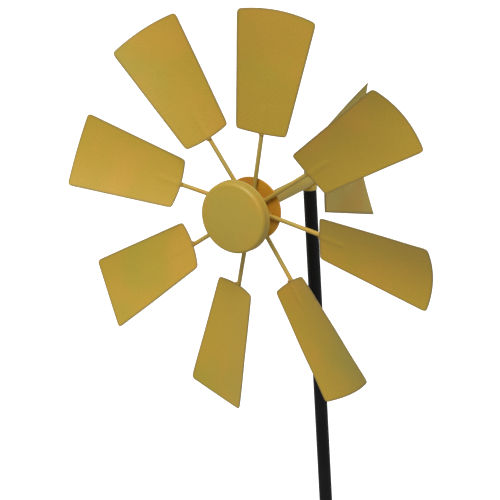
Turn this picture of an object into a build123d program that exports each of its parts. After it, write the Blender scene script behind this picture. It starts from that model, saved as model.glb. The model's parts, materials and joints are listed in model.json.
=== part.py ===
"""Garden wind spinner: an eight-bladed wheel on a weathervane head, on a sectional pole.

Millimetres, +Z up. The origin is where the pole's axis meets the ground. At rest the head
faces -Y, so the wheel stands in front of the pole and the tail vane trails behind it.
The wheel spins about the boom's axis, and the whole head swivels on a pin in the pole's top.
"""

import os
from math import cos, radians, sin

from build123d import *

# ---------------------------------------------------------------- fits and clearances
running_clearance = 0.05  # radial, between a turning bush and its pin or axle
end_play = 0.15  # axial, each side of a turning bush
sliding_clearance = 0.05  # radial, spigots and spike inside the pole tubes

# ---------------------------------------------------------------- blades and spokes
blade_count = 8
first_blade_angle = -31.8  # degrees clockwise from the top, seen from the front
blade_pitch = 18.4  # degrees, the clockwise edge lies further back
wheel_dish = 1.6  # degrees that the spokes lean forward
blade_inner_radius = 75.5  # wheel axis to the blade's inner edge
blade_outer_radius = 184.5  # wheel axis to the line between its outer corners
blade_inner_width = 46.0
blade_outer_width = 70.4
blade_outer_bow = 3.8  # how far the outer edge bows out past its corners
blade_inner_bow = 2.0  # how far the inner edge bows towards the hub
blade_corner_radius = 3.0
blade_cup_radius = 132.0  # the sheet is rolled to this radius, hollow towards the front
blade_thickness = 0.9
blade_block_depth = 60.0  # block the rolled sheet is cut from, deeper than its hollow
spoke_diameter = 4.0
spoke_end_chamfer = 0.5
spoke_lap = 27.0  # length of spoke lying behind its blade

# ---------------------------------------------------------------- hub
hub_disc_radius = 29.3
hub_disc_thickness = 1.5
hub_disc_edge = 0.5  # rounding of the disc's rim
barrel_diameter = 20.0
barrel_bore = 16.0
barrel_reach = 18.5  # barrel ahead of the spoke plane
barrel_tail = 4.5  # barrel behind the spoke plane
bush_length = 9.0
bush_flange_diameter = 19.0
bush_flange_thickness = 1.5
cap_radius = 33.2
cap_rim_reach = 34.0  # front shoulder of the nose cap ahead of the spoke plane
cap_depth = 10.5
cap_crown = 1.8  # rise of the domed face above the shoulder
cap_shoulder_radius = 3.5
cap_wall = 1.0
collar_wall = 1.5
collar_lap = 8.0  # length of the cap's collar that slips over the barrel

# ---------------------------------------------------------------- axle
axle_diameter = 8.0
axle_chamfer = 0.8
axle_thread_reach = 1.2  # axle beyond its nut
axle_anchor = 30.0  # axle held inside the boom
washer_diameter = 16.0
washer_thickness = 1.2
axle_nut_flats = 13.0
axle_nut_height = 6.0
spacer_inset = 0.35  # the spacer's rim inside the boom's outline
spacer_length = 3.0

# ---------------------------------------------------------------- boom and tail
wheel_reach = 105.5  # pole axis to the spoke plane
boom_diameter = 12.7
boom_wall = 1.2
boom_tail_lap = 58.0  # boom overlapping the tail vane
tail_front = 28.0  # pole axis to the vane's front edge
tail_tip = 124.0  # pole axis to the vane's rear tips
tail_front_half_height = 39.5
tail_tip_half_height = 68.0
tail_notch = 26.0
tail_thickness = 1.2
tail_corner_radius = 1.5
slot_clearance = 0.05

# ---------------------------------------------------------------- swivel
pin_diameter = 6.0
pin_anchor = 26.0  # pin pressed into the pole's plug
pin_thread_diameter = 5.0
pin_thread_reach = 1.0  # thread beyond the nut
swivel_tube_diameter = 10.0
swivel_tube_bore = 8.4
swivel_tube_stand = 1.0  # swivel tube proud of the boom's top
swivel_collar_diameter = 13.8
swivel_collar_height = 2.6  # collar below the boom's underside
swivel_collar_saddle = 2.4  # how far the collar rises round the boom
swivel_bush_flange_diameter = 12.7
swivel_bush_flange_thickness = 1.0
pin_washer_diameter = 10.0
pin_washer_thickness = 1.0
pin_nut_flats = 8.0
pin_nut_height = 4.0

# ---------------------------------------------------------------- pole and ground spike
pole_diameter = 12.7
pole_wall = 1.0
pole_end_rounding = 0.35
top_section_length = 190.0
section_length = 330.0
section_count = 3
plug_length = 30.0
spigot_length = 70.0
spigot_wall = 1.5
foot_bar_length = 130.0
foot_bar_width = 16.0
foot_bar_thickness = 5.0
foot_bar_corner_radius = 4.0
spike_diameter = 10.0
spike_depth = 220.0
spike_point_length = 32.0
spike_socket_lap = 60.0  # spike standing up inside the lowest pole section
prong_diameter = 8.0
prong_depth = 140.0
prong_point_length = 24.0
prong_spacing = 100.0
point_tip_radius = 0.8

# ---------------------------------------------------------------- derived places
spoke_radius = spoke_diameter / 2
barrel_radius = barrel_diameter / 2
boom_radius = boom_diameter / 2
boom_bore = boom_diameter - 2 * boom_wall
spacer_diameter = boom_diameter - 2 * spacer_inset
pole_bore = pole_diameter - 2 * pole_wall
spigot_diameter = pole_bore - 2 * sliding_clearance

pole_foot = foot_bar_thickness
top_section_foot = pole_foot + section_count * section_length
pole_top = top_section_foot + top_section_length
swivel_foot = pole_top + end_play  # underside of the swivel bush's flange
collar_foot = swivel_foot + swivel_bush_flange_thickness
boom_height = collar_foot + swivel_collar_height + boom_radius
swivel_top = boom_height + boom_radius + swivel_tube_stand
pin_shoulder = swivel_top + end_play

spoke_plane_y = -wheel_reach
disc_front_y = spoke_plane_y + spoke_radius - barrel_radius * sin(radians(wheel_dish))
barrel_front_y = spoke_plane_y - barrel_reach
barrel_back_y = spoke_plane_y + barrel_tail
washer_back_y = barrel_front_y - bush_flange_thickness - end_play
nut_back_y = washer_back_y - washer_thickness
axle_front_y = nut_back_y - axle_nut_height - axle_thread_reach
spacer_front_y = barrel_back_y + bush_flange_thickness + end_play
boom_front_y = spacer_front_y + spacer_length
boom_back_y = tail_front + boom_tail_lap
cap_shoulder_y = spoke_plane_y - cap_rim_reach
cap_back_y = cap_shoulder_y + cap_depth

wheel_axis = Axis((0, 0, boom_height), (0, 1, 0))

os.makedirs("parts", exist_ok=True)


def facing_front(y):
    """A plane square to the boom, looking forwards: extruding goes towards -Y."""
    return Plane(origin=(0, y, boom_height), x_dir=(1, 0, 0), z_dir=(0, -1, 0))


def spoke_frame(number, pitch=0.0):
    """X along the direction of travel, Y out along the spoke, Z to the front; pitch turns X back."""
    angle = radians(first_blade_angle + (number - 1) * 360 / blade_count)
    dish = radians(wheel_dish)
    turn = radians(pitch)
    outward = Vector(sin(angle), 0, cos(angle))
    forward = Vector(0, -1, 0)
    travel = Vector(cos(angle), 0, -sin(angle))
    facing = forward * cos(dish) - outward * sin(dish)
    return Plane(
        origin=(0, spoke_plane_y, boom_height),
        x_dir=travel * cos(turn) - facing * sin(turn),
        z_dir=facing * cos(turn) + travel * sin(turn),
    )


def write(builder, name):
    """Label a finished piece and write it to its own file."""
    builder.part.label = name
    export_step(builder.part, "parts/" + name + ".step")


# ================================================================ wheel
def make_blade(number):
    """A tapered sheet with bowed ends, rolled hollow and set at the blade's pitch."""
    frame = spoke_frame(number, blade_pitch)
    inner_half = blade_inner_width / 2
    outer_half = blade_outer_width / 2
    roll_centre = spoke_radius + blade_cup_radius
    with BuildPart() as blade:
        with BuildSketch(frame) as outline:
            with BuildLine():
                ThreePointArc(
                    (-outer_half, blade_outer_radius),
                    (0, blade_outer_radius + blade_outer_bow),
                    (outer_half, blade_outer_radius),
                )
                Line((outer_half, blade_outer_radius), (inner_half, blade_inner_radius))
                ThreePointArc(
                    (inner_half, blade_inner_radius),
                    (0, blade_inner_radius - blade_inner_bow),
                    (-inner_half, blade_inner_radius),
                )
                Line((-inner_half, blade_inner_radius), (-outer_half, blade_outer_radius))
            make_face()
            fillet(outline.vertices(), blade_corner_radius)
        extrude(amount=blade_block_depth)
        roll = Plane(origin=frame.origin, x_dir=frame.x_dir, z_dir=-frame.y_dir)
        with BuildSketch(roll):
            with Locations((0, roll_centre)):
                Circle(blade_cup_radius)
                Circle(blade_cup_radius - blade_thickness, mode=Mode.SUBTRACT)
        extrude(amount=2 * blade_outer_radius, both=True, mode=Mode.INTERSECT)
    return blade


def make_spoke(number):
    """A round rod from the hub barrel to the back of its blade, notched to fit the barrel."""
    frame = spoke_frame(number)
    tip = blade_inner_radius + spoke_lap
    with BuildPart() as spoke:
        with BuildSketch(Plane(origin=frame.origin, x_dir=frame.x_dir, z_dir=frame.y_dir)):
            Circle(spoke_radius)
        extrude(amount=tip)
        chamfer(spoke.faces().sort_by(Axis(frame.origin, frame.y_dir))[-1].edges(), spoke_end_chamfer)
        with BuildSketch(facing_front(barrel_back_y)):
            Circle(barrel_radius)
        extrude(amount=barrel_reach + barrel_tail, mode=Mode.SUBTRACT)
    return spoke


for number in range(1, blade_count + 1):
    write(make_blade(number), f"blade_{number}")
    write(make_spoke(number), f"spoke_{number}")

with BuildPart() as hub_disc:
    with BuildSketch(facing_front(disc_front_y)):
        Circle(hub_disc_radius)
        Circle(barrel_radius, mode=Mode.SUBTRACT)
    extrude(amount=-hub_disc_thickness)
    rim = hub_disc.edges().filter_by(GeomType.CIRCLE).group_by(SortBy.RADIUS)[-1]
    fillet(rim, hub_disc_edge)
write(hub_disc, "hub_disc")

with BuildPart() as hub_barrel:
    with BuildSketch(facing_front(barrel_back_y)):
        Circle(barrel_radius)
        Circle(barrel_bore / 2, mode=Mode.SUBTRACT)
    extrude(amount=barrel_reach + barrel_tail)
write(hub_barrel, "hub_barrel")


def make_hub_bush(end_y, inward):
    """A flanged bush pressed into one end of the barrel; inward is +1 or -1 along its plane."""
    end = facing_front(end_y)
    bore = axle_diameter / 2 + running_clearance
    with BuildPart() as bush:
        with BuildSketch(end):
            Circle(barrel_bore / 2)
            Circle(bore, mode=Mode.SUBTRACT)
        extrude(amount=inward * bush_length)
        with BuildSketch(end):
            Circle(bush_flange_diameter / 2)
            Circle(bore, mode=Mode.SUBTRACT)
        extrude(amount=-inward * bush_flange_thickness)
    return bush


write(make_hub_bush(barrel_front_y, -1), "hub_bush_front")
write(make_hub_bush(barrel_back_y, 1), "hub_bush_rear")

with BuildPart() as nose_cap:
    with BuildSketch(Plane.YZ):
        with BuildLine() as shell:
            dome = TangentArc(
                (cap_shoulder_y - cap_crown, boom_height),
                (cap_shoulder_y, boom_height + cap_radius),
                tangent=(0, 1),
            )
            Line(dome @ 1, (cap_back_y, boom_height + cap_radius))
            shoulder = shell.vertices().sort_by_distance(dome @ 1)[0]
            fillet(shoulder, cap_shoulder_radius)
            offset(amount=cap_wall, side=Side.RIGHT)
        make_face()
    revolve(axis=wheel_axis)
write(nose_cap, "nose_cap")

with BuildPart() as cap_collar:
    with BuildSketch(facing_front(cap_shoulder_y - cap_crown + cap_wall / 2)):
        Circle(barrel_radius + collar_wall)
        Circle(barrel_radius, mode=Mode.SUBTRACT)
    extrude(amount=cap_shoulder_y - cap_crown + cap_wall / 2 - barrel_front_y - collar_lap)
    add(nose_cap.part, mode=Mode.SUBTRACT)
write(cap_collar, "cap_collar")

# ================================================================ head: axle, boom and tail
with BuildPart() as axle:
    with BuildSketch(facing_front(axle_front_y)):
        Circle(axle_diameter / 2)
    extrude(amount=axle_front_y - boom_front_y - axle_anchor)
    chamfer(axle.edges().filter_by(GeomType.CIRCLE), axle_chamfer)
write(axle, "axle")

with BuildPart() as axle_plug:
    with BuildSketch(facing_front(boom_front_y)):
        Circle(boom_bore / 2)
        Circle(axle_diameter / 2, mode=Mode.SUBTRACT)
    extrude(amount=-axle_anchor)
write(axle_plug, "axle_plug")

with BuildPart() as axle_spacer:
    with BuildSketch(facing_front(boom_front_y)):
        Circle(spacer_diameter / 2)
        Circle(axle_diameter / 2, mode=Mode.SUBTRACT)
    extrude(amount=spacer_length)
write(axle_spacer, "axle_spacer")

with BuildPart() as axle_washer:
    with BuildSketch(facing_front(washer_back_y)):
        Circle(washer_diameter / 2)
        Circle(axle_diameter / 2, mode=Mode.SUBTRACT)
    extrude(amount=washer_thickness)
write(axle_washer, "axle_washer")

with BuildPart() as axle_nut:
    with BuildSketch(facing_front(nut_back_y)):
        RegularPolygon(axle_nut_flats / 2, 6, major_radius=False)
        Circle(axle_diameter / 2, mode=Mode.SUBTRACT)
    extrude(amount=axle_nut_height)
write(axle_nut, "axle_nut")

with BuildPart() as boom_tube:
    with BuildSketch(facing_front(boom_front_y)):
        Circle(boom_radius)
        Circle(boom_bore / 2, mode=Mode.SUBTRACT)
    extrude(amount=boom_front_y - boom_back_y)
    with BuildSketch(Plane.XY.offset(boom_height)):
        Circle(swivel_tube_diameter / 2)
    extrude(amount=boom_diameter, both=True, mode=Mode.SUBTRACT)
    with BuildSketch(Plane.YZ):
        with Locations(((tail_front + boom_back_y) / 2, boom_height)):
            Rectangle(boom_tail_lap, 2 * boom_diameter)
    extrude(amount=tail_thickness / 2 + slot_clearance, both=True, mode=Mode.SUBTRACT)
write(boom_tube, "boom_tube")

with BuildPart() as tail_vane:
    with BuildSketch(Plane.YZ) as vane_outline:
        with BuildLine():
            Polyline(
                (tail_front, boom_height - tail_front_half_height),
                (tail_tip, boom_height - tail_tip_half_height),
                (tail_tip - tail_notch, boom_height),
                (tail_tip, boom_height + tail_tip_half_height),
                (tail_front, boom_height + tail_front_half_height),
                close=True,
            )
        make_face()
        fillet(vane_outline.vertices(), tail_corner_radius)
    extrude(amount=tail_thickness / 2, both=True)
write(tail_vane, "tail_vane")

# ================================================================ head: swivel
with BuildPart() as swivel_tube:
    with BuildSketch(Plane.XY.offset(collar_foot)):
        Circle(swivel_tube_diameter / 2)
        Circle(swivel_tube_bore / 2, mode=Mode.SUBTRACT)
    extrude(amount=swivel_top - collar_foot)
write(swivel_tube, "swivel_tube")

with BuildPart() as swivel_collar:
    with BuildSketch(Plane.XY.offset(collar_foot)):
        Circle(swivel_collar_diameter / 2)
        Circle(swivel_tube_diameter / 2, mode=Mode.SUBTRACT)
    extrude(amount=swivel_collar_height + swivel_collar_saddle)
    with BuildSketch(facing_front(-boom_diameter)):
        Circle(boom_radius)
    extrude(amount=-2 * boom_diameter, mode=Mode.SUBTRACT)
write(swivel_collar, "swivel_collar")

with BuildPart() as swivel_bush:
    with BuildSketch(Plane.XY.offset(swivel_foot)):
        Circle(swivel_bush_flange_diameter / 2)
        Circle(pin_diameter / 2 + running_clearance, mode=Mode.SUBTRACT)
    extrude(amount=swivel_bush_flange_thickness)
    with BuildSketch(Plane.XY.offset(collar_foot)):
        Circle(swivel_tube_bore / 2)
        Circle(pin_diameter / 2 + running_clearance, mode=Mode.SUBTRACT)
    extrude(amount=swivel_top - collar_foot)
write(swivel_bush, "swivel_bush")

# ================================================================ mast: swivel pin
with BuildPart() as swivel_pin:
    with BuildSketch(Plane.XY.offset(pole_top - pin_anchor)):
        Circle(pin_diameter / 2)
    extrude(amount=pin_shoulder - pole_top + pin_anchor)
    with BuildSketch(Plane.XY.offset(pin_shoulder)):
        Circle(pin_thread_diameter / 2)
    extrude(amount=pin_washer_thickness + pin_nut_height + pin_thread_reach)
write(swivel_pin, "swivel_pin")

with BuildPart() as pin_washer:
    with BuildSketch(Plane.XY.offset(pin_shoulder)):
        Circle(pin_washer_diameter / 2)
        Circle(pin_thread_diameter / 2, mode=Mode.SUBTRACT)
    extrude(amount=pin_washer_thickness)
write(pin_washer, "pin_washer")

with BuildPart() as pin_nut:
    with BuildSketch(Plane.XY.offset(pin_shoulder + pin_washer_thickness)):
        RegularPolygon(pin_nut_flats / 2, 6, major_radius=False)
        Circle(pin_thread_diameter / 2, mode=Mode.SUBTRACT)
    extrude(amount=pin_nut_height)
write(pin_nut, "pin_nut")

with BuildPart() as pole_plug:
    with BuildSketch(Plane.XY.offset(pole_top)):
        Circle(pole_bore / 2)
        Circle(pin_diameter / 2, mode=Mode.SUBTRACT)
    extrude(amount=-plug_length)
write(pole_plug, "pole_plug")


# ================================================================ mast: pole
def make_pole_tube(foot, length):
    """One section of pole, its ends slightly rounded."""
    with BuildPart() as tube:
        with BuildSketch(Plane.XY.offset(foot)):
            Circle(pole_diameter / 2)
            Circle(pole_bore / 2, mode=Mode.SUBTRACT)
        extrude(amount=length)
        outer_ends = tube.edges().filter_by(GeomType.CIRCLE).group_by(SortBy.RADIUS)[-1]
        fillet(outer_ends, pole_end_rounding)
    return tube


def make_spigot(joint_height):
    """The tube inside a pole joint, half in each section."""
    with BuildPart() as spigot:
        with BuildSketch(Plane.XY.offset(joint_height)):
            Circle(spigot_diameter / 2)
            Circle(spigot_diameter / 2 - spigot_wall, mode=Mode.SUBTRACT)
        extrude(amount=spigot_length / 2, both=True)
    return spigot


write(make_pole_tube(top_section_foot, top_section_length), "pole_top_section")
for number in range(1, section_count + 1):
    section_top = top_section_foot - (number - 1) * section_length
    write(make_pole_tube(section_top - section_length, section_length), f"pole_section_{number}")
    write(make_spigot(section_top), f"pole_spigot_{number}")


# ================================================================ mast: ground spike
def make_pointed_rod(x, diameter, top, bottom, point_length):
    """A round rod with a conical point at its lower end."""
    with BuildPart() as rod:
        with BuildSketch(Plane.XZ):
            with BuildLine():
                Polyline(
                    (x, top),
                    (x + diameter / 2, top),
                    (x + diameter / 2, bottom + point_length),
                    (x + point_tip_radius, bottom),
                    (x, bottom),
                    close=True,
                )
            make_face()
        revolve(axis=Axis((x, 0, 0), (0, 0, 1)))
    return rod


spike_shaft = make_pointed_rod(0, spike_diameter, 0, -spike_depth, spike_point_length)
with BuildPart() as ground_spike:
    add(spike_shaft.part)
    with BuildSketch(Plane.XY):
        Circle(spigot_diameter / 2)
    extrude(amount=foot_bar_thickness + spike_socket_lap)
write(ground_spike, "ground_spike")

for name, side in (("prong_left", -1), ("prong_right", 1)):
    prong_x = side * prong_spacing / 2
    prong_top = foot_bar_thickness
    prong = make_pointed_rod(prong_x, prong_diameter, prong_top, -prong_depth, prong_point_length)
    write(prong, name)

with BuildPart() as foot_bar:
    with BuildSketch(Plane.XY):
        RectangleRounded(foot_bar_length, foot_bar_width, foot_bar_corner_radius)
        Circle(spigot_diameter / 2, mode=Mode.SUBTRACT)
        with Locations((-prong_spacing / 2, 0), (prong_spacing / 2, 0)):
            Circle(prong_diameter / 2, mode=Mode.SUBTRACT)
    extrude(amount=foot_bar_thickness)
write(foot_bar, "foot_bar")
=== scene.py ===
"""Looks of the garden wind spinner: painted sheet-metal wheel, forked tail and black pole.

Everything is in metres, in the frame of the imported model: +Z up, the wheel towards -Y.
The blades, their welds, the nose cap and the tail vane are modelled at the world's origin and
carried to their place; the other welds and the nut are made where they belong.
"""

import json
import math

import bpy
from mathutils import Matrix, Vector


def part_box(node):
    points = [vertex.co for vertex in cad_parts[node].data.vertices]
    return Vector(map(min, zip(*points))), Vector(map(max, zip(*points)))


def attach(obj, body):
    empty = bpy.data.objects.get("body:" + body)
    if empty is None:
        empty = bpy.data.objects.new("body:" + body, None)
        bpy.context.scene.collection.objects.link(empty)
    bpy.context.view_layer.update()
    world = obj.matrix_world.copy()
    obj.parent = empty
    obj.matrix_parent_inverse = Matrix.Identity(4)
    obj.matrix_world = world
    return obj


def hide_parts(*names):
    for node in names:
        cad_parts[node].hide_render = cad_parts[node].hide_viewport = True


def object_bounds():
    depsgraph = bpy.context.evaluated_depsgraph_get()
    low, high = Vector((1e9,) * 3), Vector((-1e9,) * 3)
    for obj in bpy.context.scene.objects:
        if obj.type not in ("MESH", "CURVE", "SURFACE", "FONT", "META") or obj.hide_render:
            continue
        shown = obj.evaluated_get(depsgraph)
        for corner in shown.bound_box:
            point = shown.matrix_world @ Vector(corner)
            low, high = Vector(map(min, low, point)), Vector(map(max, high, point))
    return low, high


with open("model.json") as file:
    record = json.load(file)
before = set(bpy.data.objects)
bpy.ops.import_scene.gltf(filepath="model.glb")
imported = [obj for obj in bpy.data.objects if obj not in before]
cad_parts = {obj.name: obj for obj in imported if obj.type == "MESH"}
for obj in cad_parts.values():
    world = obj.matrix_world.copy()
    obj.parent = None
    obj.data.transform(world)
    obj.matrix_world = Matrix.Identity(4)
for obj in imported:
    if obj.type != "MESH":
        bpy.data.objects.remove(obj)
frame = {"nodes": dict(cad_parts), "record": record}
cad_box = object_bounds()

# ---------------------------------------------------------------- sizes, in metres
MM = 0.001
blade_count = 8
first_blade_angle = math.radians(-31.8)  # clockwise from the top, seen from the front
blade_pitch = math.radians(18.4)
wheel_dish = math.radians(1.6)  # the spokes lean this far to the front
blade_inner_radius = 75.5 * MM
blade_outer_radius = 184.5 * MM
blade_length = blade_outer_radius - blade_inner_radius
blade_inner_width = 46.0 * MM
blade_outer_width = 70.4 * MM
blade_outer_bow = 3.8 * MM
blade_inner_bow = 2.0 * MM
blade_cup_radius = 132.0 * MM
blade_thickness = 0.9 * MM
spoke_radius = 2.0 * MM
spoke_lap = 27.0 * MM

# ---------------------------------------------------------------- places, from the frame
joints = {joint["name"]: joint for joint in frame["record"]["behaviour"]["joints"]}
wheel_centre = Vector(joints["wheel_spin"]["pos_m"])
barrel_low, barrel_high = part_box("hub_barrel")
cap_low, cap_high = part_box("nose_cap")
boom_low, boom_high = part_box("boom_tube")
vane_low, vane_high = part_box("tail_vane")
collar_low, collar_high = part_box("swivel_collar")
barrel_radius = (barrel_high.x - barrel_low.x) / 2
boom_radius = (boom_high.x - boom_low.x) / 2
collar_radius = (collar_high.x - collar_low.x) / 2
bar_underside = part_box("foot_bar")[0].z


# ================================================================ modelling helpers
def deselect():
    bpy.ops.object.select_all(action="DESELECT")


def select_only(piece):
    deselect()
    bpy.context.view_layer.objects.active = piece
    piece.select_set(True)


def edit(piece):
    """Open a piece in edit mode with nothing selected."""
    select_only(piece)
    bpy.ops.object.mode_set(mode="EDIT")
    bpy.ops.mesh.select_all(action="DESELECT")


def pick_vertices(piece, test):
    """Select the vertices whose place passes the test; the piece is in edit mode."""
    bpy.ops.object.mode_set(mode="OBJECT")
    for vertex in piece.data.vertices:
        vertex.select = test(vertex.co)
    for edge in piece.data.edges:
        edge.select = all(piece.data.vertices[i].select for i in edge.vertices)
    for face in piece.data.polygons:
        face.select = all(piece.data.vertices[i].select for i in face.vertices)
    bpy.ops.object.mode_set(mode="EDIT")


def close_edit():
    bpy.ops.object.mode_set(mode="OBJECT")


def apply_modifier(piece, kind, **settings):
    """Add one modifier, set it and apply it."""
    select_only(piece)
    modifier = piece.modifiers.new(kind.title(), kind)
    for name, value in settings.items():
        setattr(modifier, name, value)
    bpy.ops.object.modifier_apply(modifier=modifier.name)


def soften_rim(piece, width):
    """Round the cut edge of a sheet, and leave its faces alone."""
    cut_edge_angle = math.radians(50)
    apply_modifier(
        piece, "BEVEL", width=width, segments=2, limit_method="ANGLE", angle_limit=cut_edge_angle
    )


def copy_piece(piece, name):
    """A copy with its own mesh."""
    twin = piece.copy()
    twin.data = piece.data.copy()
    twin.name = name
    bpy.context.scene.collection.objects.link(twin)
    return twin


def join_pieces(pieces, name):
    deselect()
    for piece in pieces:
        piece.select_set(True)
    bpy.context.view_layer.objects.active = pieces[0]
    if len(pieces) > 1:
        bpy.ops.object.join()
    joined = bpy.context.object
    joined.name = name
    return joined


def settle(piece, matrix=None):
    """Carry a piece to its place and leave its object at the origin, unturned."""
    if matrix is not None:
        piece.matrix_world = matrix
    select_only(piece)
    bpy.ops.object.transform_apply(location=True, rotation=True, scale=True)


def smooth(piece, degrees=35):
    select_only(piece)
    bpy.ops.object.shade_smooth_by_angle(angle=math.radians(degrees))


def hand_over(piece, name, body, slot, material, *nodes):
    """Name a finished piece, give it its material, attach it to its body and hide the CAD nodes it
    replaces.
    """
    piece.name = name
    piece.data.name = name
    piece.data.materials.clear()
    piece.data.materials.append(material)
    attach(piece, body)
    if nodes:
        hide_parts(*nodes)


# ================================================================ shader helpers
FLOAT = "NodeSocketFloat"
COLOUR = "NodeSocketColor"


def new_group(name, inputs, outputs):
    """An empty shader node group with named sockets, and its two end nodes."""
    group = bpy.data.node_groups.new(name, "ShaderNodeTree")
    for label, kind, value in inputs:
        socket = group.interface.new_socket(label, in_out="INPUT", socket_type=kind)
        socket.default_value = value
    for label, kind in outputs:
        group.interface.new_socket(label, in_out="OUTPUT", socket_type=kind)
    start = group.nodes.new("NodeGroupInput")
    end = group.nodes.new("NodeGroupOutput")
    return group, start.outputs, end.inputs


def add_node(tree, kind, links=None, **settings):
    """Add a node, set its attributes and link or set its inputs."""
    node = tree.nodes.new(kind)
    for name, value in settings.items():
        setattr(node, name, value)
    for key, source in (links or {}).items():
        if isinstance(source, bpy.types.NodeSocket):
            tree.links.new(source, node.inputs[key])
        else:
            node.inputs[key].default_value = source
    return node


def use_group(tree, group, links):
    """Place a shared node group in a material, with the material's own values."""
    return add_node(tree, "ShaderNodeGroup", links, node_tree=group).outputs


def object_place(tree):
    return add_node(tree, "ShaderNodeTexCoord").outputs["Object"]


def noise(tree, place, scale, detail, roughness=0.5, distortion=0.0):
    links = {"Vector": place, "Scale": scale, "Detail": detail}
    links.update({"Roughness": roughness, "Distortion": distortion})
    return add_node(tree, "ShaderNodeTexNoise", links).outputs["Fac"]


def calculate(tree, operation, *values, clamp=False):
    """One sum on two or three values."""
    terms = dict(enumerate(values))
    return add_node(tree, "ShaderNodeMath", terms, operation=operation, use_clamp=clamp).outputs[0]


def ramp(tree, source, low, high):
    """A smooth 0 to 1 ramp of a value between two limits."""
    limits = {0: source, 1: low, 2: high}
    return add_node(tree, "ShaderNodeMapRange", limits, interpolation_type="SMOOTHSTEP").outputs[0]


def spread(tree, pattern, lowest, highest):
    """Stretch a noise pattern, which mostly lies between 0.3 and 0.7, over new limits."""
    limits = {0: pattern, 1: 0.3, 2: 0.7, 3: lowest, 4: highest}
    return add_node(tree, "ShaderNodeMapRange", limits).outputs[0]


def blend_colour(tree, mask, first, second):
    return add_node(tree, "ShaderNodeMix", {0: mask, 6: first, 7: second}, data_type="RGBA").outputs[2]


# ================================================================ shared effects
def build_sprayed_coat():
    """Cloudy change of colour over a sprayed coat, with a finer speckle inside it."""
    white = (1, 1, 1, 1)
    group, given, result = new_group(
        "sprayed_coat",
        [
            ("Base", COLOUR, white),
            ("Warm", COLOUR, white),
            ("Cool", COLOUR, white),
            ("Cloud Scale", FLOAT, 18.0),
            ("Speckle Scale", FLOAT, 900.0),
            ("Strength", FLOAT, 0.6),
        ],
        [("Color", COLOUR), ("Cloud", FLOAT), ("Speckle", FLOAT)],
    )
    drift_scale = 7.0
    warm_from, cool_from, patch_full = 0.46, 0.48, 0.64
    darkest_speck, lightest_speck = 0.93, 1.05
    place = object_place(group)
    cloud = noise(group, place, given["Cloud Scale"], 3.0)
    drift = noise(group, place, drift_scale, 2.0, distortion=0.6)
    speckle = noise(group, place, given["Speckle Scale"], 2.0, roughness=0.7)
    warm_patches = ramp(group, cloud, warm_from, patch_full)
    cool_patches = ramp(group, drift, cool_from, patch_full)
    warm_mask = calculate(group, "MULTIPLY", warm_patches, given["Strength"])
    cool_mask = calculate(group, "MULTIPLY", cool_patches, given["Strength"])
    warmed = blend_colour(group, warm_mask, given["Base"], given["Warm"])
    cooled = blend_colour(group, cool_mask, warmed, given["Cool"])
    shade = spread(group, speckle, darkest_speck, lightest_speck)
    specked = add_node(group, "ShaderNodeVectorMath", {0: cooled, 1: shade}, operation="MULTIPLY")
    group.links.new(specked.outputs[0], result["Color"])
    group.links.new(cloud, result["Cloud"])
    group.links.new(speckle, result["Speckle"])
    return group


def build_orange_peel():
    """Height of a sprayed coat's skin: fine ripple on a slower sag."""
    group, given, result = new_group(
        "orange_peel",
        [("Ripple Scale", FLOAT, 700.0), ("Sag Scale", FLOAT, 60.0), ("Sag", FLOAT, 0.6)],
        [("Height", FLOAT)],
    )
    place = object_place(group)
    ripple = noise(group, place, given["Ripple Scale"], 1.0)
    sag = noise(group, place, given["Sag Scale"], 2.0)
    height = calculate(group, "MULTIPLY_ADD", sag, given["Sag"], ripple)
    group.links.new(height, result["Height"])
    return group


def build_weathering():
    """Where dirt and thin rust gather: specks and small upright runs, as a mask."""
    group, given, result = new_group(
        "weathering", [("Scale", FLOAT, 220.0), ("Cover", FLOAT, 0.2)], [("Mask", FLOAT)]
    )
    upright_stretch = (1, 1, 0.45)
    patch_scale, patch_share = 26.0, 0.35
    clean_limit, cover_drop = 0.95, -0.30
    sharpness = 14.0
    place = object_place(group)
    stretched = add_node(
        group, "ShaderNodeMapping", {"Vector": place, "Scale": upright_stretch}
    ).outputs[0]
    specks = noise(group, stretched, given["Scale"], 5.0, roughness=0.65)
    patches = noise(group, place, patch_scale, 2.0)
    limit = calculate(group, "MULTIPLY_ADD", given["Cover"], cover_drop, clean_limit)
    mixed = calculate(group, "MULTIPLY_ADD", patches, patch_share, specks)
    over = calculate(group, "SUBTRACT", mixed, limit)
    mask = calculate(group, "MULTIPLY", over, sharpness, clamp=True)
    group.links.new(mask, result["Mask"])
    return group


def build_rim_marks():
    """Chipped and rubbed rim: the rim attribute broken up by noise."""
    group, given, result = new_group(
        "rim_marks",
        [("Rim", FLOAT, 0.0), ("Scale", FLOAT, 260.0), ("Amount", FLOAT, 0.5)],
        [("Mask", FLOAT)],
    )
    unworn_limit, amount_drop = 0.75, -0.4
    sharpness = 12.0
    chips = noise(group, object_place(group), given["Scale"], 4.0)
    bare = calculate(group, "MULTIPLY", chips, given["Rim"])
    limit = calculate(group, "MULTIPLY_ADD", given["Amount"], amount_drop, unworn_limit)
    over = calculate(group, "SUBTRACT", bare, limit)
    mask = calculate(group, "MULTIPLY", over, sharpness, clamp=True)
    group.links.new(mask, result["Mask"])
    return group


sprayed_coat = build_sprayed_coat()
orange_peel = build_orange_peel()
weathering = build_weathering()
rim_marks = build_rim_marks()


# ================================================================ materials
def blank_material(name):
    material = bpy.data.materials.new(name)
    material.use_nodes = True
    tree = material.node_tree
    return material, tree, tree.nodes["Principled BSDF"].inputs


def vary_roughness(tree, surface, pattern, smoothest, roughest):
    tree.links.new(spread(tree, pattern, smoothest, roughest), surface["Roughness"])


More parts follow.
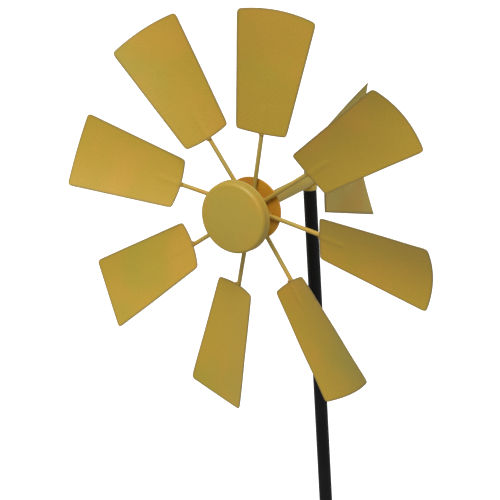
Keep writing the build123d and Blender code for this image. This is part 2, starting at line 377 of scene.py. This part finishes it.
def add_skin(tree, surface, ripple, sag, sag_share, strength, depth):
    """Bump the surface with the height of its sprayed or moulded skin."""
    values = {"Ripple Scale": ripple, "Sag Scale": sag, "Sag": sag_share}
    height = use_group(tree, orange_peel, values)["Height"]
    bump = add_node(
        tree, "ShaderNodeBump", {"Height": height, "Strength": strength, "Distance": depth}
    )
    tree.links.new(bump.outputs[0], surface["Normal"])


def yellow_paint(name, base, warm, cool, rust_cover=0.15, mottle=0.75, rough=0.47, rim=False):
    """Mustard enamel over sheet steel: cloudy colour, orange peel, a little rust and chipping."""
    rust_brown = (0.17, 0.075, 0.018, 1)
    rubbed_rim = (0.175, 0.130, 0.035, 1)
    chipped_rim = (0.15, 0.095, 0.03, 1)
    rubbed_share = 0.8
    material, tree, surface = blank_material(name)
    coat = use_group(
        tree, sprayed_coat, {"Base": base, "Warm": warm, "Cool": cool, "Strength": mottle}
    )
    rust = use_group(tree, weathering, {"Scale": 240.0, "Cover": rust_cover})
    colour = blend_colour(tree, rust["Mask"], coat["Color"], rust_brown)
    if rim:
        nearness = add_node(tree, "ShaderNodeAttribute", attribute_name="rim").outputs["Fac"]
        marks = use_group(tree, rim_marks, {"Rim": nearness, "Amount": 0.62})
        band = calculate(tree, "MULTIPLY", nearness, rubbed_share)
        colour = blend_colour(tree, band, colour, rubbed_rim)
        colour = blend_colour(tree, marks["Mask"], colour, chipped_rim)
    tree.links.new(colour, surface["Base Color"])
    vary_roughness(tree, surface, coat["Cloud"], rough - 0.07, rough + 0.09)
    add_skin(tree, surface, ripple=620, sag=55, sag_share=0.8, strength=0.22, depth=0.6 * MM)
    return material


def black_paint(name, rough=0.42, scuff_cover=0.25):
    """Semi-matt black: uneven sheen along the tube, fine scuffs and a dusty cast."""
    dusty_scuff = (0.0090, 0.0088, 0.0085, 1)
    material, tree, surface = blank_material(name)
    coat = use_group(
        tree,
        sprayed_coat,
        {
            "Base": (0.0022, 0.0022, 0.0024, 1),
            "Warm": (0.0045, 0.0042, 0.0040, 1),
            "Cool": (0.0020, 0.0024, 0.0034, 1),
            "Cloud Scale": 30.0,
            "Strength": 0.9,
        },
    )
    scuffs = use_group(tree, weathering, {"Scale": 420.0, "Cover": scuff_cover})
    colour = blend_colour(tree, scuffs["Mask"], coat["Color"], dusty_scuff)
    tree.links.new(colour, surface["Base Color"])
    vary_roughness(tree, surface, coat["Cloud"], rough - 0.12, rough + 0.16)
    add_skin(tree, surface, ripple=500, sag=45, sag_share=1.4, strength=0.3, depth=0.8 * MM)
    surface["Specular IOR Level"].default_value = 0.16
    return material


def plated_steel(name, colour, rough, rust_cover):
    """Dull plated or bare steel with fine blotches and a touch of rust."""
    rust_brown = (0.15, 0.06, 0.02, 1)
    darker = tuple(0.7 * part for part in colour[:3]) + (1,)
    material, tree, surface = blank_material(name)
    coat = use_group(
        tree,
        sprayed_coat,
        {"Base": colour, "Warm": darker, "Cool": colour, "Cloud Scale": 160.0, "Strength": 0.7},
    )
    rust = use_group(tree, weathering, {"Scale": 600.0, "Cover": rust_cover})
    tint = blend_colour(tree, rust["Mask"], coat["Color"], rust_brown)
    tree.links.new(tint, surface["Base Color"])
    metal = calculate(tree, "SUBTRACT", 1.0, rust["Mask"], clamp=True)
    tree.links.new(metal, surface["Metallic"])
    vary_roughness(tree, surface, coat["Cloud"], rough, rough + 0.2)
    add_skin(tree, surface, ripple=1800, sag=300, sag_share=0.5, strength=0.25, depth=0.2 * MM)
    return material


def moulded_nylon(name):
    """Black moulded nylon with a faint grain."""
    material, tree, surface = blank_material(name)
    coat = use_group(
        tree,
        sprayed_coat,
        {
            "Base": (0.018, 0.018, 0.019, 1),
            "Warm": (0.024, 0.023, 0.022, 1),
            "Cool": (0.014, 0.014, 0.016, 1),
            "Cloud Scale": 220.0,
        },
    )
    tree.links.new(coat["Color"], surface["Base Color"])
    vary_roughness(tree, surface, coat["Speckle"], 0.45, 0.65)
    add_skin(tree, surface, ripple=2400, sag=400, sag_share=0.3, strength=0.2, depth=0.1 * MM)
    return material


mustard = (0.400, 0.255, 0.012, 1)
mustard_warm = (0.455, 0.250, 0.016, 1)
mustard_cool = (0.325, 0.258, 0.014, 1)
spoke_mustard = (0.37, 0.265, 0.040, 1)
# Painted bounce light: the hub disc gets a brighter, deeper orange than the blades' paint, standing in
# for light thrown back into it from the cap and blades.
hub_painted_bounce_amber = (0.54, 0.275, 0.008, 1)
hub_painted_bounce_warm = (0.47, 0.19, 0.006, 1)
cap_mustard = (0.38, 0.255, 0.019, 1)
cap_cool = (0.35, 0.27, 0.03, 1)
# Painted light: the boom and tail get a paler, brighter mustard than the blades' paint, standing in
# for light that the lamps don't give their sides.
boom_mustard_painted_light = (0.50, 0.355, 0.040, 1)
tail_mustard_painted_light = (0.44, 0.315, 0.032, 1)
weld_mustard = (0.40, 0.23, 0.010, 1)
weld_burnt = (0.34, 0.16, 0.006, 1)
zinc_grey = (0.56, 0.57, 0.58, 1)
steel_grey = (0.42, 0.41, 0.40, 1)

blade_enamel = yellow_paint("blade_enamel", mustard, mustard_warm, mustard_cool, rim=True)
spoke_enamel = yellow_paint(
    "spoke_enamel", spoke_mustard, mustard_warm, mustard_cool, rust_cover=0.3
)
# Hub disc paint: its colours carry painted bounce light; the rust on it is real.
hub_enamel_painted_bounce = yellow_paint(
    "hub_enamel_painted_bounce", hub_painted_bounce_amber, hub_painted_bounce_warm, mustard, rust_cover=0.4, mottle=0.9
)
cap_enamel = yellow_paint("cap_enamel", cap_mustard, mustard_warm, cap_cool)
# Boom and tail paints: their colours carry painted light.
boom_enamel_painted_light = yellow_paint(
    "boom_enamel_painted_light", boom_mustard_painted_light, mustard_warm, mustard_cool, rust_cover=0.25
)
tail_enamel_painted_light = yellow_paint("tail_enamel_painted_light", tail_mustard_painted_light, mustard_warm, mustard_cool, rim=True)
weld_enamel = yellow_paint(
    "weld_enamel", weld_mustard, weld_burnt, mustard, rust_cover=0.4, rough=0.55
)
pole_black = black_paint("pole_black")
spike_black = black_paint("spike_black", rough=0.55, scuff_cover=0.6)
zinc_plate = plated_steel("zinc_plate", zinc_grey, rough=0.32, rust_cover=0.15)
raw_steel = plated_steel("raw_steel", steel_grey, rough=0.38, rust_cover=0.45)
black_nylon = moulded_nylon("black_nylon")

slot_materials = {
    "blade_paint": blade_enamel,
    "spoke_paint": spoke_enamel,
    "hub_paint": hub_enamel_painted_bounce,
    "cap_paint": cap_enamel,
    "boom_paint": boom_enamel_painted_light,
    "tail_paint": tail_enamel_painted_light,
    "pole_paint": pole_black,
    "spike_paint": spike_black,
    "zinc_plated": zinc_plate,
    "bare_steel": raw_steel,
    "black_nylon": black_nylon,
}
for entry in frame["record"]["subparts"]:
    for slot in frame["nodes"][entry["node"]].material_slots:
        slot.material = slot_materials[entry["material_slot"]]


# ================================================================ blades
def spoke_matrix(number, pitch=0.0):
    """X along the travel, Y out along the spoke, Z to the front, about the wheel's centre."""
    angle = first_blade_angle + (number - 1) * 2 * math.pi / blade_count
    outward = Vector((math.sin(angle), 0, math.cos(angle)))
    forward = Vector((0, -1, 0))
    travel = Vector((math.cos(angle), 0, -math.sin(angle)))
    facing = forward * math.cos(wheel_dish) - outward * math.sin(wheel_dish)
    side = travel * math.cos(pitch) - facing * math.sin(pitch)
    normal = facing * math.cos(pitch) + travel * math.sin(pitch)
    along = normal.cross(side)
    turn = Matrix((side, along, normal)).transposed().to_4x4()
    return Matrix.Translation(wheel_centre) @ turn


def blade_half_width(out):
    """Half the blade's width at a distance out from the wheel's axis."""
    share = (out - blade_inner_radius) / blade_length
    return (blade_inner_width + (blade_outer_width - blade_inner_width) * share) / 2


def model_blade_blank():
    """The flat blank: a tapered sheet with bowed ends and rounded corners."""
    cuts = 13
    deselect()
    bpy.ops.mesh.primitive_plane_add(size=1)
    blank = bpy.context.object
    edit(blank)
    bpy.ops.mesh.select_all(action="SELECT")
    bpy.ops.transform.resize(value=(blade_inner_width, blade_length, 1))
    bpy.ops.transform.translate(value=(0, blade_inner_radius + blade_length / 2, 0))
    pick_vertices(blank, lambda place: place.y > blade_outer_radius - MM)
    bpy.ops.transform.resize(value=(blade_outer_width / blade_inner_width, 1, 1))
    bpy.ops.mesh.select_all(action="SELECT")
    bpy.ops.mesh.subdivide(number_cuts=cuts)
    close_edit()
    for vertex in blank.data.vertices:
        across = vertex.co.x / blade_half_width(vertex.co.y)
        share = (vertex.co.y - blade_inner_radius) / blade_length
        outer_bow = blade_outer_bow * max(0.0, share) ** 3
        inner_bow = blade_inner_bow * max(0.0, 1 - share) ** 3
        vertex.co.y += (outer_bow - inner_bow) * (1 - across**2)
    apply_modifier(blank, "SUBSURF", levels=2, render_levels=2, boundary_smooth="ALL")
    return blank


def roll_blade(blade, number):
    """Roll the sheet hollow, print the spoke through it and leave it a little uneven."""
    worn_width = 2.2 * MM
    print_height, print_width, print_fade = 0.3 * MM, 2.3 * MM, 6 * MM
    wave_height, calm_length = 0.35 * MM, 40 * MM
    long_wave, cross_wave = 47, 38
    short_wave, short_cross_wave = 90, 61
    phase = 1.7 * number  # no two blades are uneven alike
    rim = blade.data.attributes.new("rim", "FLOAT", "POINT")
    for vertex in blade.data.vertices:
        x, y = vertex.co.x, vertex.co.y
        edge_gap = min(
            blade_half_width(y) - abs(x),
            y - blade_inner_radius + blade_inner_bow * (1 - (2 * x / blade_inner_width) ** 2),
            blade_outer_radius + blade_outer_bow * (1 - (2 * x / blade_outer_width) ** 2) - y,
        )
        rim.data[vertex.index].value = max(0.0, 1 - edge_gap / worn_width)
        cup = blade_cup_radius - math.sqrt(blade_cup_radius**2 - x**2)
        print_left = spoke_lap - max(0.0, y - blade_inner_radius)
        print_through = print_height * math.exp(-((x / print_width) ** 2))
        print_through *= min(1.0, max(0.0, print_left / print_fade))
        ripple = math.sin(long_wave * y + phase) * math.sin(cross_wave * x + 2.3 * phase)
        ripple += 0.5 * math.sin(short_wave * y - short_cross_wave * x + 1.3 * phase)
        calm = min(1.0, max(0.0, (y - blade_inner_radius - spoke_lap) / calm_length))
        vertex.co.z += spoke_radius + cup + print_through + wave_height * ripple * calm


def model_blades():
    blank = model_blade_blank()
    for number in range(1, blade_count + 1):
        name = f"blade_sheet_{number}"
        blade = copy_piece(blank, name)
        roll_blade(blade, number)
        apply_modifier(blade, "SOLIDIFY", thickness=blade_thickness, offset=1.0)
        soften_rim(blade, 0.28 * MM)
        settle(blade, spoke_matrix(number, blade_pitch))
        smooth(blade)
        hand_over(blade, name, "wheel", "blade_paint", blade_enamel, f"blade_{number}")
    bpy.data.objects.remove(blank)


# ================================================================ weld beads
def weld_bead(places, size, name):
    """A run of overlapping weld ripples, melted together."""
    unevenness, pace = 0.12, 5.1
    ripples = []
    for index, place in enumerate(places):
        radius = size * (1 + unevenness * math.sin(pace * index))
        deselect()
        bpy.ops.mesh.primitive_uv_sphere_add(
            segments=14, ring_count=8, radius=radius, location=place
        )
        ripples.append(bpy.context.object)
    bead = join_pieces(ripples, name)
    settle(bead)
    apply_modifier(bead, "REMESH", mode="VOXEL", voxel_size=size / 4)
    apply_modifier(bead, "SMOOTH", factor=0.5, iterations=2)
    smooth(bead, 60)
    return bead


def line_of_places(start, run, spacing):
    """Evenly spaced places from a start along a run, both ends counted."""
    steps = max(1, round(run.length / spacing))
    return [start + run * (step / steps) for step in range(steps + 1)]


def ring_of_places(radius, count):
    turns = [2 * math.pi * step / count for step in range(count)]
    return [Vector((radius * math.cos(turn), radius * math.sin(turn), 0)) for turn in turns]


def model_spoke_welds():
    """On each spoke: beads both sides at the blade and at the hub, and one at the blade's edge."""
    bead = 1.1 * MM
    spacing = 1.3 * MM
    edge_run = Vector((3 * MM, 0, 0))
    edge_start = Vector(
        (
            -edge_run.x / 2,
            blade_inner_radius - blade_inner_bow - 0.4 * MM,
            spoke_radius + 0.2 * MM,
        )
    )
    blade_beads = [weld_bead(line_of_places(edge_start, edge_run, MM), bead, "weld")]
    hub_beads = []
    for side in (-1, 1):
        flank = side * (spoke_radius + 0.1 * MM)
        start = Vector((flank, blade_inner_radius + 1.5 * MM, 0.45 * spoke_radius))
        run = Vector((side * 0.2 * MM, 17 * MM, 0))
        blade_beads.append(weld_bead(line_of_places(start, run, spacing), bead, "weld"))
        start = Vector((flank, barrel_radius + 1.2 * MM, -0.8 * spoke_radius))
        run = Vector((0, 9 * MM, 0))
        hub_beads.append(weld_bead(line_of_places(start, run, spacing), bead, "weld"))
    at_blade = join_pieces(blade_beads, "blade_welds")
    at_hub = join_pieces(hub_beads, "hub_welds")
    for number in range(1, blade_count + 1):
        name = f"spoke_weld_{number}"
        outer = copy_piece(at_blade, f"outer_weld_{number}")
        settle(outer, spoke_matrix(number, blade_pitch))
        inner = copy_piece(at_hub, f"inner_weld_{number}")
        settle(inner, spoke_matrix(number))
        hand_over(join_pieces([outer, inner], name), name, "wheel", "spoke_paint", weld_enamel)
    bpy.data.objects.remove(at_blade)
    bpy.data.objects.remove(at_hub)


# ================================================================ nose cap
def turned_shell(start_radius, steps, sides=96):
    """A turned sheet, drawn up from one ring and closed at its pole.

    Each step is (rise, new radius), and the last one ends on the axis.
    """
    nearly_closed = 1e-6
    deselect()
    bpy.ops.mesh.primitive_circle_add(vertices=sides, radius=start_radius, fill_type="NOTHING")
    shell = bpy.context.object
    edit(shell)
    bpy.ops.mesh.select_all(action="SELECT")
    radius = start_radius
    for rise, new_radius in steps:
        bpy.ops.mesh.extrude_region_move(TRANSFORM_OT_translate={"value": (0, 0, rise)})
        share = max(new_radius, nearly_closed) / radius
        bpy.ops.transform.resize(value=(share, share, 1))
        radius = max(new_radius, nearly_closed)
    bpy.ops.mesh.merge(type="CENTER")
    bpy.ops.mesh.select_all(action="SELECT")
    bpy.ops.mesh.normals_make_consistent(inside=False)
    close_edit()
    return shell


def model_nose_cap():
    """A pressed lid: rolled hem, short skirt, rounded shoulder and a softly domed face."""
    outer = (cap_high.x - cap_low.x) / 2
    depth = cap_high.y - cap_low.y
    crown = 1.8 * MM
    shoulder = 3.6 * MM
    wall = 1.0 * MM
    hem = 0.7 * MM
    skirt = depth - crown - shoulder - 2.15 * hem
    body = outer - 0.55 * hem
    face = body - shoulder
    arc_steps, face_rings = 8, 9
    steps = [(0.35 * hem, outer), (1.3 * hem, outer), (0.5 * hem, body), (skirt, body)]
    last_rise = 0.0
    for step in range(1, arc_steps + 1):
        turn = math.pi / 2 * step / arc_steps
        rise = shoulder * math.sin(turn)
        steps.append((rise - last_rise, body - shoulder * (1 - math.cos(turn))))
        last_rise = rise
    for ring in range(1, face_rings + 1):
        radius = face * (1 - ring / face_rings)
        before = face * (1 - (ring - 1) / face_rings)
        steps.append((crown * (before**2 - radius**2) / face**2, radius))
    cap = turned_shell(outer - 0.3 * hem, steps)
    apply_modifier(cap, "SOLIDIFY", thickness=wall, offset=-1.0)
    apply_modifier(cap, "BEVEL", width=0.25 * MM, segments=2, limit_method="ANGLE")
    facing_front = Matrix.Rotation(math.radians(90), 4, "X")
    back = Vector((wheel_centre.x, cap_high.y, wheel_centre.z))
    settle(cap, Matrix.Translation(back) @ facing_front)
    smooth(cap, 40)
    hand_over(cap, "nose_cap_pressing", "wheel", "cap_paint", cap_enamel, "nose_cap")


# ================================================================ tail vane
def model_tail_vane():
    """The forked vane: a flared plate with a V notch, a softened rim and a slight wave."""
    front_half = 39.5 * MM
    tip_half = (vane_high.z - vane_low.z) / 2
    notch, notch_bend = 26.0 * MM, 1.6
    thickness = vane_high.x - vane_low.x
    length = vane_high.y - vane_low.y
    cuts = 15
    worn_width = 2.5 * MM
    wave_height, calm_width = 0.4 * MM, 25 * MM
    deselect()
    bpy.ops.mesh.primitive_plane_add(size=1)
    vane = bpy.context.object
    edit(vane)
    bpy.ops.mesh.select_all(action="SELECT")
    bpy.ops.transform.resize(value=(length, 2 * front_half, 1))
    bpy.ops.transform.translate(value=(length / 2, 0, 0))
    pick_vertices(vane, lambda place: place.x > length / 2)
    bpy.ops.transform.resize(value=(1, tip_half / front_half, 1))
    bpy.ops.mesh.select_all(action="SELECT")
    bpy.ops.mesh.subdivide(number_cuts=cuts)
    close_edit()
    for vertex in vane.data.vertices:
        share = vertex.co.x / length
        half = front_half + (tip_half - front_half) * share
        height = abs(vertex.co.y) / half
        vertex.co.x -= notch * (1 - height) * share**notch_bend
    apply_modifier(
        vane, "SUBSURF", levels=1, render_levels=1, boundary_smooth="PRESERVE_CORNERS"
    )
    rim = vane.data.attributes.new("rim", "FLOAT", "POINT")
    for vertex in vane.data.vertices:
        x, y = vertex.co.x, vertex.co.y
        half = front_half + (tip_half - front_half) * x / length
        gap = min(x, half - abs(y), length - notch * (1 - abs(y) / half) - x)
        rim.data[vertex.index].value = max(0.0, 1 - gap / worn_width)
        calm = min(1.0, abs(y) / calm_width)
        wave = math.sin(52 * x + 30 * y) + math.sin(71 * y + 1.0)
        vertex.co.z += wave_height * calm * wave
    apply_modifier(vane, "SOLIDIFY", thickness=thickness, offset=0.0)
    soften_rim(vane, 0.3 * MM)
    middle = (vane_low + vane_high) / 2
    upright = Matrix(((0, 0, 1), (1, 0, 0), (0, 1, 0))).to_4x4()
    settle(vane, Matrix.Translation((middle.x, vane_low.y, middle.z)) @ upright)
    smooth(vane)
    hand_over(vane, "tail_vane_sheet", "head", "tail_paint", tail_enamel_painted_light, "tail_vane")


# ================================================================ welds of the head and the spike
def model_head_welds():
    """Beads along the vane's slot, above and below, and round the swivel collar."""
    slot_bead, slot_spacing, slot_inset = 1.0 * MM, 1.6 * MM, 3 * MM
    slot_offset = 0.9 * MM
    collar_bead, collar_places = 0.9 * MM, 44
    sink = 0.3 * MM
    axis_height = wheel_centre.z
    slot_start = vane_low.y + slot_inset
    run = Vector((0, boom_high.y - slot_inset - slot_start, 0))
    beads = []
    for side in (-1, 1):
        for up in (-1, 1):
            start = Vector((side * slot_offset, slot_start, axis_height + up * boom_radius))
            beads.append(weld_bead(line_of_places(start, run, slot_spacing), slot_bead, "slot_weld"))
    ring = []
    for place in ring_of_places(collar_radius - 0.1 * MM, collar_places):
        if abs(place.x) < boom_radius - 0.6 * MM:
            drop = math.sqrt(boom_radius**2 - place.x**2)
            ring.append(Vector((place.x, place.y, axis_height - drop - sink)))
    front = [place for place in ring if place.y < 0]
    rear = [place for place in ring if place.y > 0]
    beads.append(weld_bead(front, collar_bead, "collar_weld"))
    beads.append(weld_bead(rear, collar_bead, "collar_weld"))
    name = "head_welds"
    hand_over(join_pieces(beads, name), name, "head", "boom_paint", weld_enamel)


def model_spike_welds():
    """Rings of weld where the prongs come through the foot bar."""
    bead, ring_places = 1.2 * MM, 20
    beads = []
    for node in ("prong_left", "prong_right"):
        low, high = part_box(node)
        middle = (low + high) / 2
        centre = Vector((middle.x, middle.y, bar_underside))
        ring = ring_of_places((high.x - low.x) / 2, ring_places)
        beads.append(weld_bead([centre + place for place in ring], bead, "prong_weld"))
    name = "spike_welds"
    hand_over(join_pieces(beads, name), name, "mast", "spike_paint", spike_black)


# ================================================================ nut on the swivel pin
def model_pin_nut():
    """The nut on the swivel pin, with eased corners."""
    low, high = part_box("pin_nut")
    across_flats = min(high.x - low.x, high.y - low.y)
    deselect()
    bpy.ops.mesh.primitive_cylinder_add(
        vertices=6, radius=across_flats / math.sqrt(3), depth=high.z - low.z, location=(low + high) / 2
    )
    nut = bpy.context.object
    if high.x - low.x > high.y - low.y:
        nut.rotation_euler.z = math.radians(30)
    settle(nut)
    apply_modifier(nut, "BEVEL", width=0.45 * MM, segments=3, limit_method="ANGLE")
    smooth(nut, 30)
    hand_over(nut, "pin_nut_hex", "mast", "zinc_plated", zinc_plate, "pin_nut")


model_blades()
model_spoke_welds()
model_nose_cap()
model_tail_vane()
model_head_welds()
model_spike_welds()
model_pin_nut()


# ================================================================ stage, light and camera
def build_stage():
    """A plain pale floor under the object, which neither lights it nor is mirrored in it."""
    floor_size, floor_gap = 80, 0.5 * MM
    pale, own_glow = 0.93, 0.30
    deselect()
    bpy.ops.mesh.primitive_plane_add(size=floor_size, location=(0, 0, cad_box[0].z - floor_gap))
    floor = bpy.context.object
    floor.name = "studio_floor"
    material, tree, surface = blank_material("studio_white")
    surface["Base Color"].default_value = (pale, pale, pale, 1)
    surface["Roughness"].default_value = 0.9
    surface["Emission Color"].default_value = (1, 1, 1, 1)
    surface["Emission Strength"].default_value = own_glow
    floor.data.materials.append(material)
    floor.visible_diffuse = False
    floor.visible_glossy = False


def build_light():
    """Even white surroundings and one broad, soft light from above and in front."""
    room_strength, key_strength = 0.57, 2.75
    key_softness = math.radians(30)
    towards_key = Vector((0.16, -0.55, 0.78))
    world = bpy.data.worlds.new("white_room")
    bpy.context.scene.world = world
    world.use_nodes = True
    surround = world.node_tree.nodes["Background"]
    surround.inputs["Color"].default_value = (1, 1, 1, 1)
    surround.inputs["Strength"].default_value = room_strength
    deselect()
    bpy.ops.object.light_add(type="SUN")
    key = bpy.context.object
    key.name = "soft_key"
    key.data.energy = key_strength
    key.data.angle = key_softness
    key.rotation_mode = "QUATERNION"
    key.rotation_quaternion = towards_key.to_track_quat("Z", "Y")


def build_camera():
    """In front of the wheel, above it and to its right."""
    azimuth = math.radians(32.17)
    elevation = math.radians(16.69)
    roll = math.radians(-3.50)
    distance = 1.7767
    lens, sensor = 142.6, 36
    sideways, downward = 1.3 * MM, 36.9 * MM
    level_reach = math.cos(elevation)
    back = Vector(
        (math.sin(azimuth) * level_reach, -math.cos(azimuth) * level_reach, math.sin(elevation))
    )
    level = Vector((math.cos(azimuth), math.sin(azimuth), 0))
    upright = back.cross(level)
    right = level * math.cos(roll) + upright * math.sin(roll)
    up = back.cross(right)
    aim = wheel_centre - right * sideways - up * downward
    camera = bpy.data.objects.new("view", bpy.data.cameras.new("view"))
    bpy.context.scene.collection.objects.link(camera)
    camera.data.sensor_width = sensor
    camera.data.lens = lens
    camera.data.clip_end = 100
    turn = Matrix((right, up, back)).transposed()
    camera.matrix_world = Matrix.Translation(aim + back * distance) @ turn.to_4x4()
    bpy.context.scene.camera = camera


build_stage()
build_light()
build_camera()
bpy.context.scene.view_settings.view_transform = "Standard"
